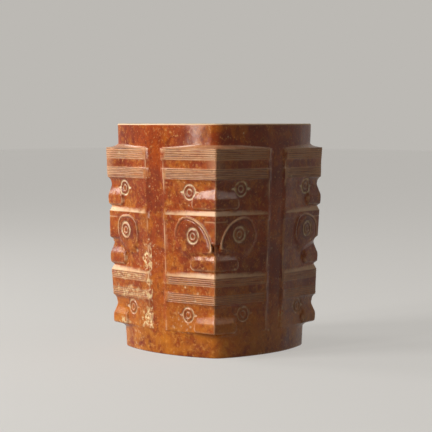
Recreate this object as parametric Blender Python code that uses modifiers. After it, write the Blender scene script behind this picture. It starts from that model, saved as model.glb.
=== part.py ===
"""A carved stone cong: a tapered, square-rounded tube, drilled through, with four carved corner blocks.

The whole object is one stone. Each corner block carries three registers of masks that fold round the corner:
a small mask under two barred bands, a large mask with oval eyelids, and a second small mask. An upright channel
runs between neighbouring blocks, level with the collars at the rim and the foot.
Sizes are millimetres in the constants below, and the model is built in metres with +Z up.
"""

import math
from collections import namedtuple

import bmesh
import bpy
from mathutils import Matrix, Vector

MM = 0.001

# Tube. The plan is drawn at the rim, and every height below it is that plan made smaller by the taper.
RIM_WIDTH = 76.2
FOOT_WIDTH = 69.5
TUBE_SIDE_RADIUS = 72.0
TUBE_CORNER_RADIUS = 8.0
RIM_ROUNDING = 0.9
FOOT_COLLAR_HEIGHT = 10.9
RIM_COLLAR_HEIGHT = 10.3

# Bore, drilled from both ends until the two drillings met at a low ridge
BORE_MOUTH_DIAMETER = 54.0
BORE_WAIST_DIAMETER = 51.4
BORE_RIDGE_RISE = 0.5
BORE_RIDGE_WIDTH = 4.0
BORE_CHAMFER = 0.8
BORE_OVERSHOOT = 5.0

# Corner blocks, in plan at the rim
CORNER_REACH = 49.2
BLOCK_STANDOFF = 0.6
CHANNEL_MOUTH = 10.6
CHANNEL_FLOOR = 4.4
LEDGE_RISE = 1.3

# Depths of the carving below the face of the bars, at the corner and at the channel
Cut = namedtuple("Cut", "corner channel")
BAR = Cut(corner=0.0, channel=0.0)
STRIP = Cut(corner=0.28, channel=0.28)
FIELD = Cut(corner=1.4, channel=0.35)
GROUND = Cut(corner=0.0, channel=0.35)
HOLLOW = Cut(corner=1.7, channel=0.35)
GROOVE = Cut(corner=1.9, channel=0.3)

# Slopes of the steps between those depths, as heights
STEP_SLOPE = 0.4
STRIP_SLOPE = 0.25
GROOVE_LIP = 0.4
GROOVE_SLOPE = 1.5

# Registers on the corner blocks, stacked from the foot collar to the rim collar with a groove between two.
# An eye and a nose are placed by their height above the foot of their register.
SmallMask = namedtuple("SmallMask", "upper_band strip lower_band field eye nose_foot")
LargeMask = namedtuple("LargeMask", "brow_and_bridge hollow eye nose_foot")
UPPER_MASK = SmallMask(upper_band=4.5, strip=3.5, lower_band=4.8, field=13.0, eye=8.3, nose_foot=0.7)
UPPER_GROOVE_HEIGHT = 2.5
MIDDLE_MASK = LargeMask(brow_and_bridge=12.0, hollow=12.0, eye=15.4, nose_foot=0.3)
LOWER_GROOVE_HEIGHT = 2.8
LOWER_MASK = SmallMask(upper_band=3.2, strip=3.7, lower_band=4.8, field=12.0, eye=8.0, nose_foot=0.3)

# Nose bars, folded round each corner
NOSE_HEIGHT = 4.7
NOSE_REACH = 12.6
NOSE_ROOT = 3.0
NOSE_SLOPE = 2.0
NOSE_ROUNDING = 1.7

# Eyes, at distances from the corner along the face
UPPER_EYE_REACH = 13.6
MIDDLE_EYE_REACH = 13.0
LOWER_EYE_REACH = 16.2
EYE_RADIUS = 3.15
EYE_GROOVE_RADIUS = 0.5

# Oval eyelids of the large mask, tilted up from the nose and drawn out to a tip beside it
EYELID_HALF_LENGTH = 9.9
EYELID_HALF_HEIGHT = 7.0
EYELID_TILT = math.radians(20)
EYELID_TIP_RATIO = 0.1
EYELID_LIFT = 0.3
EYELID_RISE = 0.25
EYELID_ROOT = 3.0

# Facets
TUBE_SIDE_STEPS = 8
TUBE_CORNER_STEPS = 5
ROUNDING_STEPS = 3
BORE_STEPS = 48
EYELID_STEPS = 28
EYE_STEPS = 20
EYE_GROOVE_STEPS = 6

# Polished brown stone
STONE_COLOUR = (0.392, 0.094, 0.021, 1.0)
STONE_ROUGHNESS = 0.32

# Heights above the foot
LOWER_FOOT = FOOT_COLLAR_HEIGHT
LOWER_TOP = LOWER_FOOT + sum(LOWER_MASK[:4])
MIDDLE_FOOT = LOWER_TOP + LOWER_GROOVE_HEIGHT
MIDDLE_TOP = MIDDLE_FOOT + sum(MIDDLE_MASK[:2])
UPPER_FOOT = MIDDLE_TOP + UPPER_GROOVE_HEIGHT
UPPER_TOP = UPPER_FOOT + sum(UPPER_MASK[:4])
HEIGHT = UPPER_TOP + RIM_COLLAR_HEIGHT

# Plan of the block on the +X +Y corner: the points of its +X face, and the directions along and out of it
DIAGONAL = Vector((1.0, 1.0)).normalized()
CORNER = DIAGONAL * CORNER_REACH
CHANNEL_EDGE = Vector((RIM_WIDTH / 2 + BLOCK_STANDOFF, CHANNEL_MOUTH / 2))
BLOCK_SEAT = 0.5
CHANNEL_FOOT = Vector((RIM_WIDTH / 2 - BLOCK_SEAT, CHANNEL_FLOOR / 2))
BLOCK_HEART = DIAGONAL * (RIM_WIDTH / 2)
ALONG_FACE = (CHANNEL_EDGE - CORNER).normalized()
OUT_OF_FACE = Vector((-ALONG_FACE.y, ALONG_FACE.x))
CORNER_SINE = abs(DIAGONAL.x * ALONG_FACE.y - DIAGONAL.y * ALONG_FACE.x)
CHANNEL_DEPTH = (CHANNEL_EDGE - CHANNEL_FOOT).dot(OUT_OF_FACE)
SIDES = (1, -1)
QUARTERS = range(4)


def taper(z):
    """Size of the plan at height z, as a share of the plan at the rim."""
    return (FOOT_WIDTH + (RIM_WIDTH - FOOT_WIDTH) * z / HEIGHT) / RIM_WIDTH


def mirrored(point, side):
    """A plan point of the +X face, or its mirror image on the +Y face."""
    return point.copy() if side > 0 else Vector((point.y, point.x))


def on_face(side, reach, z, depth):
    """The point at this distance from the corner along a face, at height z and this far below the bars."""
    plan = mirrored(CORNER + ALONG_FACE * reach - OUT_OF_FACE * depth, side)
    return Vector((plan.x, plan.y, z))


def clear_scene():
    for obj in list(bpy.data.objects):
        bpy.data.objects.remove(obj)


def new_collection(name):
    collection = bpy.data.collections.new(name)
    bpy.context.scene.collection.children.link(collection)
    return collection


def stone_material():
    material = bpy.data.materials.new("polished_brown_stone")
    material.use_nodes = True
    shader = material.node_tree.nodes["Principled BSDF"]
    shader.inputs["Base Color"].default_value = STONE_COLOUR
    shader.inputs["Roughness"].default_value = STONE_ROUGHNESS
    shader.inputs["Metallic"].default_value = 0.0
    return material


def finish(bm, name, collection, quarter=0):
    """Turns a straight piece to its corner, gives it the taper and the model's unit, and makes it an object."""
    turn = Matrix.Rotation(quarter * math.pi / 2, 3, "Z")
    bmesh.ops.rotate(bm, cent=(0, 0, 0), matrix=turn, verts=bm.verts)
    for vert in bm.verts:
        size = taper(vert.co.z)
        vert.co = Vector((vert.co.x * size, vert.co.y * size, vert.co.z)) * MM
    bmesh.ops.triangulate(bm, faces=bm.faces)
    bmesh.ops.recalc_face_normals(bm, faces=bm.faces)
    mesh = bpy.data.meshes.new(name)
    bm.to_mesh(mesh)
    bm.free()
    obj = bpy.data.objects.new(name, mesh)
    collection.objects.link(obj)
    return obj


def as_helper(obj):
    obj.hide_render = True
    obj.display_type = "WIRE"
    return obj


def is_upright(edge):
    low, high = edge.verts
    return (low.co - high.co).xy.length < abs(low.co.z - high.co.z)


def arc_points(centre, radius, start, end, steps):
    """Plan points along an arc, without its last one."""
    angles = [start + (end - start) * step / steps for step in range(steps)]
    return [centre + radius * Vector((math.cos(angle), math.sin(angle))) for angle in angles]


def tube_outline():
    """Plan of the tube at the rim: four sides that swell in a wide arc, joined by tight corner arcs."""
    side_centre = RIM_WIDTH / 2 - TUBE_SIDE_RADIUS
    span = TUBE_SIDE_RADIUS - TUBE_CORNER_RADIUS
    corner_centre = (side_centre + math.sqrt(2 * span**2 - side_centre**2)) / 2
    turn = math.atan2(corner_centre, corner_centre - side_centre)
    side = arc_points(Vector((side_centre, 0.0)), TUBE_SIDE_RADIUS, -turn, turn, TUBE_SIDE_STEPS)
    corner = arc_points(
        Vector((corner_centre, corner_centre)), TUBE_CORNER_RADIUS, turn, math.pi / 2 - turn, TUBE_CORNER_STEPS
    )
    turns = [Matrix.Rotation(quarter * math.pi / 2, 2) for quarter in QUARTERS]
    return [turn @ point for turn in turns for point in side + corner]


def make_tube(collection):
    """The square-rounded tube, still solid. Its bare ends are the collars."""
    bm = bmesh.new()
    foot = bm.faces.new([bm.verts.new((point.x, point.y, 0.0)) for point in tube_outline()])
    grown = bmesh.ops.extrude_face_region(bm, geom=[foot], use_keep_orig=True)
    rim = [item for item in grown["geom"] if isinstance(item, bmesh.types.BMVert)]
    bmesh.ops.translate(bm, vec=(0, 0, HEIGHT), verts=rim)
    rims = [edge for edge in bm.edges if not is_upright(edge)]
    bmesh.ops.bevel(bm, geom=rims, offset=RIM_ROUNDING, segments=ROUNDING_STEPS, profile=0.5, affect="EDGES")
    return finish(bm, "cong_body", collection)


def block_outline(cut):
    """Plan of a corner block with its faces cut back by this much at the corner and at the channel."""
    edge = CHANNEL_EDGE.lerp(CHANNEL_FOOT, cut.channel / CHANNEL_DEPTH)
    tip = CORNER - DIAGONAL * (cut.corner / CORNER_SINE)
    return [CHANNEL_FOOT, edge, tip, mirrored(edge, -1), mirrored(CHANNEL_FOOT, -1), BLOCK_HEART]


def small_mask_levels(mask, foot):
    """Heights and cuts of a small mask's register, from its foot up over its two bars."""
    bars_foot = foot + mask.field
    strip_foot = bars_foot + mask.lower_band
    strip_top = strip_foot + mask.strip
    return [
        (foot, FIELD),
        (bars_foot - STEP_SLOPE, FIELD),
        (bars_foot, BAR),
        (strip_foot, BAR),
        (strip_foot + STRIP_SLOPE, STRIP),
        (strip_top - STRIP_SLOPE, STRIP),
        (strip_top, BAR),
        (strip_top + mask.upper_band, BAR),
    ]


def large_mask_levels(mask, foot):
    """Heights and cuts of the large mask's register: the hollow beside the nose, then the bridge and brow."""
    bridge_foot = foot + mask.hollow
    return [
        (foot, HOLLOW),
        (bridge_foot - STEP_SLOPE, HOLLOW),
        (bridge_foot, GROUND),
        (bridge_foot + mask.brow_and_bridge, GROUND),
    ]


def groove_levels(lower_top, upper_foot):
    """The groove between two registers: a sloping lower wall under a short upper lip."""
    return [(lower_top + GROOVE_SLOPE, GROOVE), (upper_foot - GROOVE_LIP, GROOVE)]


def block_levels():
    """Every ring of a corner block, from the ledge over the foot collar to the ledge under the rim collar."""
    seated = Cut(corner=(CORNER_REACH - RIM_WIDTH / 2 - BLOCK_STANDOFF) * CORNER_SINE, channel=CHANNEL_DEPTH)
    return [
        (LOWER_FOOT - LEDGE_RISE, seated),
        *small_mask_levels(LOWER_MASK, LOWER_FOOT),
        *groove_levels(LOWER_TOP, MIDDLE_FOOT),
        *large_mask_levels(MIDDLE_MASK, MIDDLE_FOOT),
        *groove_levels(MIDDLE_TOP, UPPER_FOOT),
        *small_mask_levels(UPPER_MASK, UPPER_FOOT),
        (UPPER_TOP + LEDGE_RISE, seated),
    ]


def make_block(collection, quarter):
    """One corner block, lofted through the rings of its registers."""
    bm = bmesh.new()
    rings = []
    for z, cut in block_levels():
        rings.append([bm.verts.new((point.x, point.y, z)) for point in block_outline(cut)])
    for lower, upper in zip(rings, rings[1:]):
        for i in range(len(lower)):
            j = (i + 1) % len(lower)
            bm.faces.new((lower[i], lower[j], upper[j], upper[i]))
    bm.faces.new(rings[0])
    bm.faces.new(rings[-1])
    return finish(bm, f"block_{quarter}", collection, quarter)


def nose_outline():
    """One half of a nose bar's front, as distances from the corner and heights above its foot."""
    half = [(0.0, 0.0)]
    for centre_z, start in ((NOSE_ROUNDING, -math.pi / 2), (NOSE_HEIGHT - NOSE_ROUNDING, 0.0)):
        for step in range(ROUNDING_STEPS + 1):
            angle = start + step / ROUNDING_STEPS * math.pi / 2
            reach = NOSE_REACH - NOSE_ROUNDING + NOSE_ROUNDING * math.cos(angle)
            half.append((reach, centre_z + NOSE_ROUNDING * math.sin(angle)))
    return half + [(0.0, NOSE_HEIGHT)]


def nose_point(side, reach, rise, depth):
    """A point of a nose bar above its foot, on its front or at its root. Its top climbs towards the root."""
    climb = 1 + depth * NOSE_SLOPE / NOSE_HEIGHT
    fold = depth * math.sqrt(1 / CORNER_SINE**2 - 1) if reach == 0.0 else 0.0
    return on_face(side, reach + fold, rise * climb, depth)


def make_nose(collection, quarter, foot, name):
    """A nose bar folded round the corner: sloping top, upright front, rounded ends."""
    half = nose_outline()
    bm = bmesh.new()
    layers = []
    for depth in (0.0, NOSE_ROOT):
        near = [bm.verts.new(nose_point(1, reach, rise, depth)) for reach, rise in half]
        far = [bm.verts.new(nose_point(-1, reach, rise, depth)) for reach, rise in half[1:-1]]
        bm.faces.new(near)
        bm.faces.new([near[0], *far, near[-1]])
        layers.append(near + far[::-1])
    front, root = layers
    for i in range(len(front)):
        j = (i + 1) % len(front)
        bm.faces.new((front[i], front[j], root[j], root[i]))
    bmesh.ops.translate(bm, vec=(0, 0, foot), verts=bm.verts)
    return finish(bm, f"{name}_{quarter}", collection, quarter)


def eyelid_point(angle):
    """The eyelid's edge in this direction round the eye, as a distance from the corner and a height."""
    draw = 1 + EYELID_TIP_RATIO * max(0.0, -math.cos(angle)) ** 4
    long_way = EYELID_HALF_LENGTH * draw * math.cos(angle)
    short_way = EYELID_HALF_HEIGHT * draw * math.sin(angle)
    reach = long_way * math.cos(EYELID_TILT) - short_way * math.sin(EYELID_TILT)
    rise = long_way * math.sin(EYELID_TILT) + short_way * math.cos(EYELID_TILT)
    return MIDDLE_EYE_REACH + reach, MIDDLE_FOOT + MIDDLE_MASK.eye + EYELID_LIFT + rise


def make_eyelid(collection, quarter, side):
    """An oval eyelid of the large mask, standing a little above the brow."""
    bm = bmesh.new()
    bmesh.ops.create_circle(bm, cap_ends=True, segments=EYELID_STEPS, radius=1.0)
    for vert in bm.verts:
        reach, z = eyelid_point(math.atan2(vert.co.y, vert.co.x))
        vert.co = on_face(side, reach, z, -EYELID_RISE)
    grown = bmesh.ops.extrude_face_region(bm, geom=list(bm.faces), use_keep_orig=True)
    inward = on_face(side, 0.0, 0.0, EYELID_ROOT) - on_face(side, 0.0, 0.0, 0.0)
    rear = [item for item in grown["geom"] if isinstance(item, bmesh.types.BMVert)]
    bmesh.ops.translate(bm, vec=inward, verts=rear)
    return finish(bm, f"eyelid_{quarter}_{side}", collection, quarter)


def make_eye_groove(collection, quarter, side, place, name):
    """A ring cutter for the drilled circle of an eye, centred at this reach, height and depth."""
    reach, z, depth = place
    bpy.ops.mesh.primitive_torus_add(
        major_radius=EYE_RADIUS,
        minor_radius=EYE_GROOVE_RADIUS,
        major_segments=EYE_STEPS,
        minor_segments=EYE_GROOVE_STEPS,
    )
    template = bpy.context.object
    bm = bmesh.new()
    bm.from_mesh(template.data)
    bpy.data.objects.remove(template)
    outward = on_face(side, reach, z, -1.0) - on_face(side, reach, z, 0.0)
    turn = outward.to_track_quat("Z", "Y").to_matrix().to_4x4()
    bmesh.ops.transform(bm, matrix=Matrix.Translation(on_face(side, reach, z, depth)) @ turn, verts=bm.verts)
    return finish(bm, f"{name}_{quarter}_{side}", collection, quarter)


def field_depth(cut, reach):
    """Depth of a plane cut at this distance from the corner."""
    share = reach / (CHANNEL_EDGE - CORNER).length
    return cut.corner + (cut.channel - cut.corner) * share


def bore_profile():
    """Half section of the bore from above the rim to below the foot, at +X."""
    mouth = BORE_MOUTH_DIAMETER / 2
    waist = BORE_WAIST_DIAMETER / 2
    ridge = waist - BORE_RIDGE_RISE
    flare = mouth + BORE_CHAMFER
    middle = HEIGHT / 2
    return [
        (0.0, HEIGHT + BORE_OVERSHOOT),
        (flare, HEIGHT + BORE_OVERSHOOT),
        (flare, HEIGHT),
        (mouth, HEIGHT - BORE_CHAMFER),
        (waist, middle + BORE_RIDGE_WIDTH / 2),
        (ridge, middle),
        (waist, middle - BORE_RIDGE_WIDTH / 2),
        (mouth, BORE_CHAMFER),
        (flare, 0.0),
        (flare, -BORE_OVERSHOOT),
        (0.0, -BORE_OVERSHOOT),
    ]


def make_bore(collection):
    """The drilling through the tube, turned from its half section."""
    profile = [(x * MM, 0.0, z * MM) for x, z in bore_profile()]
    mesh = bpy.data.meshes.new("bore")
    mesh.from_pydata(profile, [(i, i + 1) for i in range(len(profile) - 1)], [])
    obj = bpy.data.objects.new("bore", mesh)
    collection.objects.link(obj)
    turn = obj.modifiers.new("turn", "SCREW")
    turn.axis = "Z"
    turn.angle = math.tau
    turn.steps = BORE_STEPS
    turn.render_steps = BORE_STEPS
    turn.use_merge_vertices = True
    turn.merge_threshold = 1e-6
    return obj


def add_boolean(obj, name, operation, collection):
    boolean = obj.modifiers.new(name, "BOOLEAN")
    boolean.operation = operation
    boolean.solver = "EXACT"
    boolean.operand_type = "COLLECTION"
    boolean.collection = collection


def build():
    clear_scene()
    parts = new_collection("cong")
    added = new_collection("cong_added_forms")
    cutters = new_collection("cong_cutters")

    body = make_tube(parts)
    body.data.materials.append(stone_material())

    noses = {
        "upper_nose": UPPER_FOOT + UPPER_MASK.nose_foot,
        "middle_nose": MIDDLE_FOOT + MIDDLE_MASK.nose_foot,
        "lower_nose": LOWER_FOOT + LOWER_MASK.nose_foot,
    }
    eyes = {
        "upper_eye": (UPPER_EYE_REACH, UPPER_FOOT + UPPER_MASK.eye, field_depth(FIELD, UPPER_EYE_REACH)),
        "middle_eye": (MIDDLE_EYE_REACH, MIDDLE_FOOT + MIDDLE_MASK.eye, -EYELID_RISE),
        "lower_eye": (LOWER_EYE_REACH, LOWER_FOOT + LOWER_MASK.eye, field_depth(FIELD, LOWER_EYE_REACH)),
    }
    for quarter in QUARTERS:
        as_helper(make_block(added, quarter))
        for name, foot in noses.items():
            as_helper(make_nose(added, quarter, foot, name))
        for side in SIDES:
            as_helper(make_eyelid(added, quarter, side))
            for name, place in eyes.items():
                as_helper(make_eye_groove(cutters, quarter, side, place, name))
    as_helper(make_bore(cutters))

    add_boolean(body, "corner_blocks", "UNION", added)
    body.modifiers.new("flat_facets", "TRIANGULATE")
    add_boolean(body, "bore_and_eyes", "DIFFERENCE", cutters)


build()
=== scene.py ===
"""Looks of the jade cong: one carved, polished and weathered brown stone in a plain studio."""

import math
from collections import namedtuple

import bpy
import numpy as np
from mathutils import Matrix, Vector


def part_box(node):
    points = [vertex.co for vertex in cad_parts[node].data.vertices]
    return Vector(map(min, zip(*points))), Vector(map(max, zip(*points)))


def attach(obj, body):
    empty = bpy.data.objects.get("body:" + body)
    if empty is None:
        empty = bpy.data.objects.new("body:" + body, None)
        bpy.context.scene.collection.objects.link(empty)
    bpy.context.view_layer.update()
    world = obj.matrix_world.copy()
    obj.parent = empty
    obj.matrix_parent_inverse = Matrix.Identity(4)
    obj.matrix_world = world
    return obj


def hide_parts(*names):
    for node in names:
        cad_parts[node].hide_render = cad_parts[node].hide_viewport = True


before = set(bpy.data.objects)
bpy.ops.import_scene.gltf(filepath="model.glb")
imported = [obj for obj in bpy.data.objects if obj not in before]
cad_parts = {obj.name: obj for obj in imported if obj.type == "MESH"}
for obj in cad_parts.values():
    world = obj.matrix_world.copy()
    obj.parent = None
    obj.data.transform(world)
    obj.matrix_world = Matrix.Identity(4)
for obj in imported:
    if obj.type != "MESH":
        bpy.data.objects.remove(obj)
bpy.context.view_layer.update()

# Sizes are millimetres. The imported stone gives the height, and the plan is drawn at the rim.
MM = 0.001
STONE_LOW, STONE_HIGH = (np.array(corner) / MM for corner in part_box("cong_body"))
HEIGHT = STONE_HIGH[2] - STONE_LOW[2]
SKIN_MARGIN = 0.02
RIM_WIDTH = 76.2
FOOT_WIDTH = 69.5
TUBE_SIDE_RADIUS = 72.0
TUBE_CORNER_RADIUS = 8.0
RIM_ROUNDING = 0.7
BORE_MOUTH_RADIUS = 27.0
BORE_WAIST_RADIUS = 25.7
BORE_RIDGE_RISE = 0.5
BORE_RIDGE_WIDTH = 4.0
BORE_LIP = 0.8
# Fine rings left by the drill: their depth, how fast they follow each other in radians for each millimetre,
# and how far and how fast that drifts
DRILL_RING_DEPTH = 0.07
DRILL_RING_RATE = 1.9
DRILL_RING_DRIFT = 2
DRILL_RING_DRIFT_RATE = 0.31
CORNER_REACH = 49.2
CORNER_ROUNDING = 0.5
BLOCK_STANDOFF = 0.6
CHANNEL_MOUTH = 10.6
CHANNEL_FLOOR = 6.8
CHANNEL_EDGE_ROUNDING = 0.4
# Ledges from the blocks' ends in to the collars: their rise near the corner and at the channel, how soon it
# falls off between, how close their rows start, and the part of the rise that is a steep fillet at the collar
LEDGE_RISE = 1.8
LEDGE_RISE_AT_CHANNEL = 0.6
LEDGE_FALL = 1.6
LEDGE_ROW_POWER = 0.8
LEDGE_FILLET = 0.45
LEDGE_FILLET_POWER = 5

# Depths of the carving below the face of the bars, at the corner and from this far along the face on
Cut = namedtuple("Cut", "corner away reach")
BAR = Cut(0.0, 0.0, 30.0)
STRIP = Cut(0.08, 0.28, 30.0)
FIELD = Cut(1.55, 0.35, 30.0)
BRIDGE = Cut(0.0, 0.35, 30.0)
HOLLOW = Cut(1.5, 0.3, 12.0)
NOSE_GROUND = Cut(1.7, 0.35, 30.0)
GROOVE = Cut(1.25, 0.3, 30.0)
# A field falls away below the bars in a curve: distance below them, and share of its depth
FIELD_CURVE = ((0.0, 0.0), (0.4, 0.42), (1.5, 0.8), (3.6, 1.0))
CORNER_SLIDE = 5.0
STEP_SLOPE = 0.4
STRIP_SLOPE = 0.3
GROOVE_LIP = 0.2
GROOVE_SLOPE = 2.5
# The steps of the ground are rounded by taking its mean over these heights
STEP_ROUNDING = (-0.24, -0.12, 0.0, 0.12, 0.24)

# Registers on the corner blocks: heights of their edges, how steep the noses' tops are, how many lines each
# band has and how much of them is worn away
SmallMask = namedtuple(
    "SmallMask", "top upper_band strip lower_band nose_top nose_tilt nose_foot bottom lines faded"
)
LargeMask = namedtuple("LargeMask", "top brow bridge nose_top nose_tilt nose_foot bottom")
UPPER_MASK = SmallMask(
    top=89.3, upper_band=4.75, strip=3.9, lower_band=4.4,
    nose_top=68.3, nose_tilt=0.40, nose_foot=64.2, bottom=63.9, lines=(5, 6), faded=0.0,
)
MIDDLE_MASK = LargeMask(
    top=61.1, brow=2.5, bridge=11.7, nose_top=42.2, nose_tilt=0.43, nose_foot=38.2, bottom=37.4,
)
LOWER_MASK = SmallMask(
    top=34.6, upper_band=3.5, strip=3.7, lower_band=4.1,
    nose_top=15.2, nose_tilt=0.46, nose_foot=11.3, bottom=10.9, lines=(4, 5), faded=0.35,
)

# Nose bars: how far the front stands out and falls off to its edges, the rounding of its ends, how wide the
# wall and the underside are for each millimetre of depth, and how far the sloping top reaches and hollows
NOSE_RISE = 0.2
NOSE_CROWN = 0.12
NOSE_ROUNDING = 1.7
NOSE_WALL = 0.45
NOSE_UNDERSIDE = 0.9
NOSE_RAMP = 6.0
NOSE_HOLLOWNESS = 0.011
NOSE_FILLET = 0.3
NOSE_GROUND_BLEND = 2.8

# Radii of the drilled rings, and how far out the pointed corners of the small eyes reach
EYE_RING = 3.15
EYE_PUPIL = 1.3
EYE_SWELLING = 2.25
OUTER_RING = 4.6
EYE_CORNER_TIP = 5.2
EYE_CORNER_HALF_HEIGHT = 0.55
EYE_CORNER_WIDTH = 0.16
# Chalk in the cuts of the eyes, and darker rings between ring and pupil and round a large eye
UPPER_EYE_FILL = 1.0
LARGE_EYE_FILL = 0.85
LOWER_EYE_FILL = 0.6
INNER_DARK_RING = 2.2
INNER_DARK_RING_WIDTH = 0.5
OUTER_DARK_RING = 4.3
OUTER_DARK_RING_WIDTH = 0.7

# Eyelids: the oval's half height, how square its outer end is, how far its middle is from the eye's (along
# the face, up), how much its lower side is pulled in towards the nose, the rise of its edge and of its
# middle, and how wide its wall is for each millimetre of depth and gets where the edge fades
EYELID_HALF_HEIGHT = 7.5
EYELID_SQUARENESS = 2.6
EYELID_SHIFT = (-0.5, -1.2)
EYELID_PULL = 1.2
EYELID_RISE = 0.3
EYELID_CROWN = 0.15
EYELID_WALL = 0.35
EYELID_WALL_FADING = 2.2
EYELID_FILLET = 0.25

# Lines in the stone: how wide and how deep they are, and a raised one has its depth below zero
Line = namedtuple("Line", "width depth")
RING_LINE = Line(0.33, 0.34)
LARGE_RING_LINE = Line(0.40, 0.34)
PUPIL_WIDTH = 0.24
SWELLING_LINE = Line(0.5, -0.12)
OUTER_RING_LINE = Line(0.3, 0.08)
EYELID_RIDGE = Line(0.44, -0.16)
EYELID_RIDGE_INSET = 0.25
EYELID_LINE = Line(0.32, 0.18)
EYELID_LINE_INSET = 1.15
BROW_LINE = Line(0.24, 0.12)
BROW_LINE_FULL = 5.0
BROW_LINE_END = 7.5
BAND_LINE = Line(0.19, 0.22)
# The lines of a band are drawn by hand: the most that they are off their level, drift along the face and
# wobble, and the ranges of where they stop before the channel and how strong they are
LINE_OFF_LEVEL = 0.08
LINE_DRIFT = 0.14
LINE_WOBBLE = 0.05
LINE_STOP = (0.9, 2.0)
LINE_STRENGTH = (0.55, 1.0)

# Each half face was carved by eye: its eyes (from the corner, height), its noses' lengths, its eyelid, the
# pale fill and painted highlight on its ledges, and its chipped or crusted places. An eyelid reaches from its
# middle to the tip by the nose and away from it, leans by so many degrees, is more pointed for a lower
# number, and its line dies out at some height.
Face = namedtuple("Face", "upper_eye large_eye lower_eye upper_nose large_nose lower_nose lid chalk chips")
Lid = namedtuple("Lid", "tip away lean point foot")
Chip = namedtuple("Chip", "reach height wide tall deep pale")
DESIGN = Face(
    upper_eye=(13.6, 72.2), large_eye=(13.0, 52.8), lower_eye=(16.2, 18.9),
    upper_nose=12.6, large_nose=12.6, lower_nose=12.0,
    lid=Lid(tip=10.2, away=9.8, lean=24, point=1.7, foot=46.0), chalk=0.2, chips=(),
)
NEAR_LEFT = Face(
    upper_eye=(15.4, 71.0), large_eye=(12.7, 52.5), lower_eye=(16.6, 18.3),
    upper_nose=13.3, large_nose=14.0, lower_nose=12.4,
    lid=Lid(tip=11.2, away=11.2, lean=28, point=1.55, foot=45.5), chalk=0.45, chips=(),
)
NEAR_RIGHT = Face(
    upper_eye=(14.5, 72.4), large_eye=(13.0, 53.1), lower_eye=(16.7, 18.7),
    upper_nose=12.7, large_nose=12.6, lower_nose=12.2,
    lid=Lid(tip=10.2, away=9.8, lean=25, point=1.6, foot=45.5), chalk=0.2, chips=(),
)
LEFT_BLOCK = Face(
    upper_eye=(12.2, 71.8), large_eye=(13.4, 53.3), lower_eye=(15.3, 19.1),
    upper_nose=10.8, large_nose=11.5, lower_nose=11.0,
    lid=Lid(tip=5.6, away=9.7, lean=6, point=2.6, foot=43.5), chalk=0.6,
    chips=(
        Chip(28.5, 15.0, 7.0, 5.0, 0.22, 1.0),
        Chip(30.0, 40.4, 5.5, 5.0, 0.22, 1.0),
        Chip(30.0, 27.5, 2.2, 5.0, 0.12, 0.9),
        Chip(15.0, 25.5, 15.0, 3.0, 0.03, 0.6),
        Chip(14.0, 33.0, 14.0, 2.0, 0.03, 0.6),
        Chip(9.0, 12.5, 4.0, 1.6, 0.05, 0.9),
    ),
)
RIGHT_BLOCK = Face(
    upper_eye=(11.5, 72.4), large_eye=(10.8, 53.4), lower_eye=(15.0, 19.2),
    upper_nose=10.0, large_nose=11.0, lower_nose=10.5,
    lid=Lid(tip=8.0, away=10.0, lean=18, point=2.1, foot=45.5), chalk=0.2,
    chips=(Chip(29.8, 17.0, 2.6, 3.4, 0.12, 0.8),),
)
# Quarter turns to the corner and side of it. The other half faces follow the design.
CARVED_FACES = {(3, 1): NEAR_LEFT, (3, -1): NEAR_RIGHT, (2, -1): LEFT_BLOCK, (0, 1): RIGHT_BLOCK}

# One corner leans along the faces, more towards the foot
LEANING_QUARTER = 3
LEAN_AT_FOOT = 1.5
LEAN_AT_RIM = 0.5

# Unevenness left by polishing by hand: height and length of its waves, how near to the rim and the foot it
# gets less, and the share of it that is left there
SWELLS = ((0.10, 26), (0.03, 9), (0.01, 3.5))
EVEN_ENDS = 4.0
SWELL_AT_ENDS = 0.2

# Small pits all over and in clusters: centre, spread and number, and how strongly their dirt shows. The dirt
# is pale in the clusters, and elsewhere pale in a share of the pits and dark in the rest.
Pits = namedtuple("Pits", "centre spread count all_pale faintest strongest")
PITS = (
    Pits((0.0, 0.0, HEIGHT / 2), HEIGHT, 260, False, 0.35, 0.9),
    Pits((-3.0, -37.0, 43.0), 7.0, 34, True, 0.15, 0.55),
    Pits((-16.0, -33.0, 6.0), 6.0, 30, True, 0.15, 0.55),
    Pits((12.0, -35.0, 13.5), 6.0, 30, True, 0.15, 0.55),
)
PALE_PITS = 0.6
SMALLEST_PIT = 0.13
PIT_SPREAD = 0.4
PIT_DEPTH = 0.3

# What lies on the skin, and the highlights painted on edges and ledges, each as a share from 0 to 1 at every
# point
MARKS = ("pale_fill_and_highlight", "wear_and_highlight", "barred_band", "dark_line", "foot_stain", "crust", "rubbed_face")
FOOT_STAIN_TOP = 34.0
FOOT_STAIN_FULL = 4.0
# Pale share on the top ledges, wear with a painted sheen, and on the rim's edge pale fill with a painted
# highlight
TOP_LEDGE_WEAR_AND_SHEEN = 0.45
RIM_CHALK_AND_HIGHLIGHT = 0.45

# Studio: colours of the backdrop and the floor paper, light of the room, and how much of the backdrop's
# paleness the paper shows
BACKDROP = "#bcb9b4"
PAPER = "#83817e"
ROOM_LIGHT = 0.05
PAPER_LIFT = 0.88
FLOOR_METRES = 8.0

# Softboxes: place and size in metres, power in watts
Softbox = namedtuple("Softbox", "name place size watts")
SOFTBOXES = (
    Softbox("key", (-0.33, -0.70, 0.49), (0.26, 0.26), 5.2),
    Softbox("strip", (-0.09, -0.80, 0.22), (0.10, 0.60), 3.7),
    Softbox("side", (-0.70, -0.30, 0.42), (0.30, 0.30), 2.6),
    Softbox("rim", (0.60, 0.37, 0.50), (0.30, 0.30), 0.6),
)

# Camera: angles in degrees, places in metres, lens and sensor in millimetres
CAMERA_AZIMUTH = 43.44
CAMERA_PAN = -0.06
CAMERA_PITCH = 3.585
CAMERA_DISTANCE = 0.6647
CAMERA_HEIGHT = 0.1001
CAMERA_NEAREST = 0.01
LENS = 123.3
SENSOR_WIDTH = 36.0

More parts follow.
